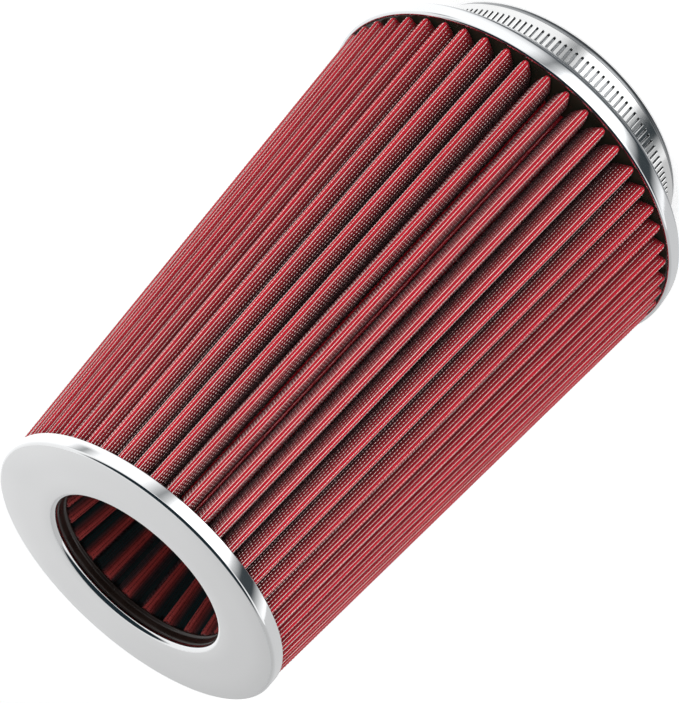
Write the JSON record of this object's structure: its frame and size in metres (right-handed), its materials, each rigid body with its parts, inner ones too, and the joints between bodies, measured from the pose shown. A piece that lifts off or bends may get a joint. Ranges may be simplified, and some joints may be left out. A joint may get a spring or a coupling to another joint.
{
  "type": "air filter",
  "caption": "Clamp-on cone air filter: pleated cotton media under wire screen, chrome base and cap, inverted-cone top and a worm-drive hose clamp on the neck.",
  "frame": {"origin": "centre of the neck mouth, on the plane of the rubber liner's end; the filter stands on its neck", "axes": "+Z along the filter's axis from the neck to the cap; +Y towards the clamp's screw housing; +X the way the screw head points"},
  "size_m": [0.152, 0.152, 0.2474],
  "materials": {
    "chrome_base": "mirror-polished chrome plate",
    "chrome_cap": "satin chrome face with polished skirt",
    "sleeve_steel": "rolled steel tube, lightly brushed",
    "liner_rubber": "moulded black rubber, matt",
    "potting_resin": "cast dark polyurethane, semi-gloss",
    "screen_wire": "woven wire, coated, tinted by the red cotton behind",
    "red_cotton": "oiled red cotton gauze",
    "seam_tin": "tinned sheet",
    "clamp_steel": "polished stainless strip",
    "screw_zinc": "zinc-plated screw"
  },
  "bodies": {
    "filter": {"base_shell": "chrome_base", "neck_sleeve": "sleeve_steel", "neck_liner": "liner_rubber", "base_potting": "potting_resin", "outer_screen": "screen_wire", "outer_media": "red_cotton", "inner_screen": "screen_wire", "outer_seam_strip": "seam_tin", "top_potting": "potting_resin", "top_cap": "chrome_cap", "cone_front_screen": "screen_wire", "cone_media": "red_cotton", "cone_back_screen": "screen_wire", "cone_seam_strip": "seam_tin", "cone_tip_potting": "potting_resin", "cone_tip_cup": "seam_tin"},
    "clamp": {"clamp_band": "clamp_steel", "clamp_saddle": "clamp_steel", "clamp_housing": "clamp_steel"},
    "tail": {"clamp_tail": "clamp_steel"},
    "screw": {"clamp_screw": "screw_zinc"}
  },
  "joints": [
    {"name": "clamp_turn", "type": "hinge", "parent": "filter", "child": "clamp", "pos_m": [0, 0, 0.01065], "axis": [0, 0, 1], "continuous": true},
    {"name": "screw_turn", "type": "hinge", "parent": "clamp", "child": "screw", "pos_m": [0, 0.0631, 0.01065], "axis": [-1, 0, 0], "range_deg": [-2880, 720]},
    {"name": "tail_feed", "type": "hinge", "parent": "clamp", "child": "tail", "pos_m": [0, 0, 0.01065], "axis": [0, 0, 1], "range_deg": [-5.1, 20.1]}
  ],
  "couplings": [
    {"joint": "tail_feed", "follows": "screw_turn", "ratio": -0.0069444}
  ]
}
